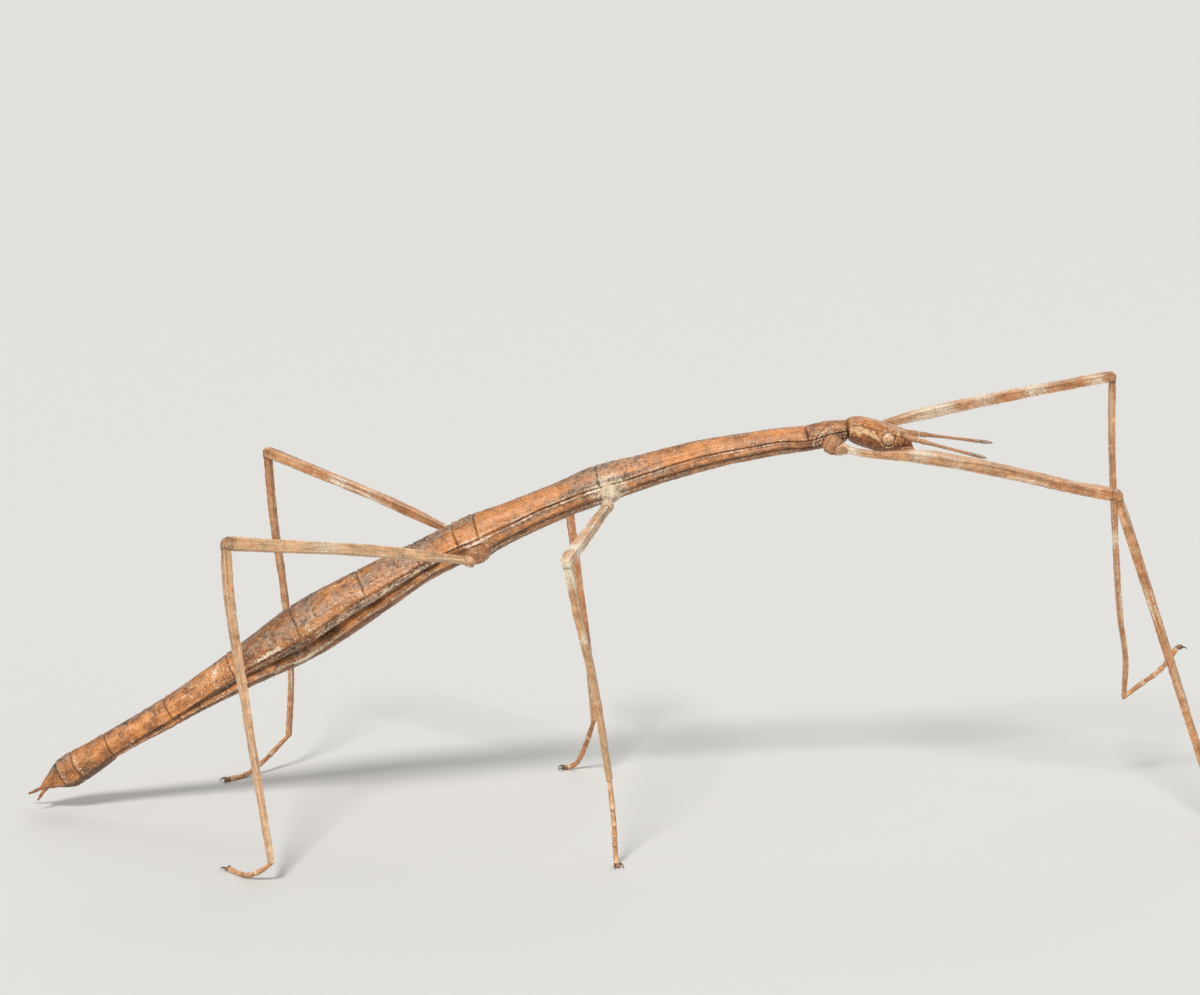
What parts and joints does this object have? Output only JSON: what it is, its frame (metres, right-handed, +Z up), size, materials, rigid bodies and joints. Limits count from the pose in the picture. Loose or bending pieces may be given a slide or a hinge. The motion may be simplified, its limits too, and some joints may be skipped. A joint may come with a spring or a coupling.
{
  "type": "stick insect",
  "caption": "Wingless, twig-like stick insect at life size, standing on long thin legs with a front leg lifted, a still model such as a museum shows.",
  "frame": {"origin": "centre of the whole animal's plan, at the level its feet stand on", "axes": "+X towards the head, +Y to the animal's left, +Z up"},
  "size_m": [0.1176, 0.0416, 0.0411],
  "materials": {
    "trunk": "dry red-brown horny skin, mottled grey along the back, with fine grooves and pale flecks",
    "head": "satin red-brown with a cream stripe along each cheek",
    "mouthparts": "satin dark brown",
    "eye": "glossy amber brown",
    "antenna": "matte brown rings with a greyish tip",
    "tail": "matte dark brown",
    "hip": "matte brown, densely flecked with cream",
    "leg": "matte straw brown, striped along the keels, with pale bands",
    "foot": "matte rose brown",
    "claw": "glossy dark brown"
  },
  "bodies": {
    "root": {"abdomen_10": "trunk", "abdomen_2": "trunk", "abdomen_3": "trunk", "abdomen_4": "trunk", "abdomen_5": "trunk", "abdomen_6": "trunk", "abdomen_7": "trunk", "abdomen_8": "trunk", "abdomen_9": "trunk", "antenna_left": "antenna", "antenna_right": "antenna", "cercus_left": "tail", "cercus_right": "tail", "claws_fore_left": "claw", "claws_fore_right": "claw", "claws_hind_left": "claw", "claws_hind_right": "claw", "claws_middle_left": "claw", "claws_middle_right": "claw", "coxa_fore_left": "hip", "coxa_fore_right": "hip", "coxa_hind_left": "hip", "coxa_hind_right": "hip", "coxa_middle_left": "hip", "coxa_middle_right": "hip", "eye_left": "eye", "eye_right": "eye", "femur_fore_left": "leg", "femur_fore_right": "leg", "femur_hind_left": "leg", "femur_hind_right": "leg", "femur_middle_left": "leg", "femur_middle_right": "leg", "head": "head", "median_segment": "trunk", "mesothorax": "trunk", "metathorax": "trunk", "mouthparts": "mouthparts", "operculum": "tail", "prothorax": "trunk", "tarsus_fore_left": "foot", "tarsus_fore_right": "foot", "tarsus_hind_left": "foot", "tarsus_hind_right": "foot", "tarsus_middle_left": "foot", "tarsus_middle_right": "foot", "tibia_fore_left": "leg", "tibia_fore_right": "leg", "tibia_hind_left": "leg", "tibia_hind_right": "leg", "tibia_middle_left": "leg", "tibia_middle_right": "leg"}
  },
  "joints": []
}
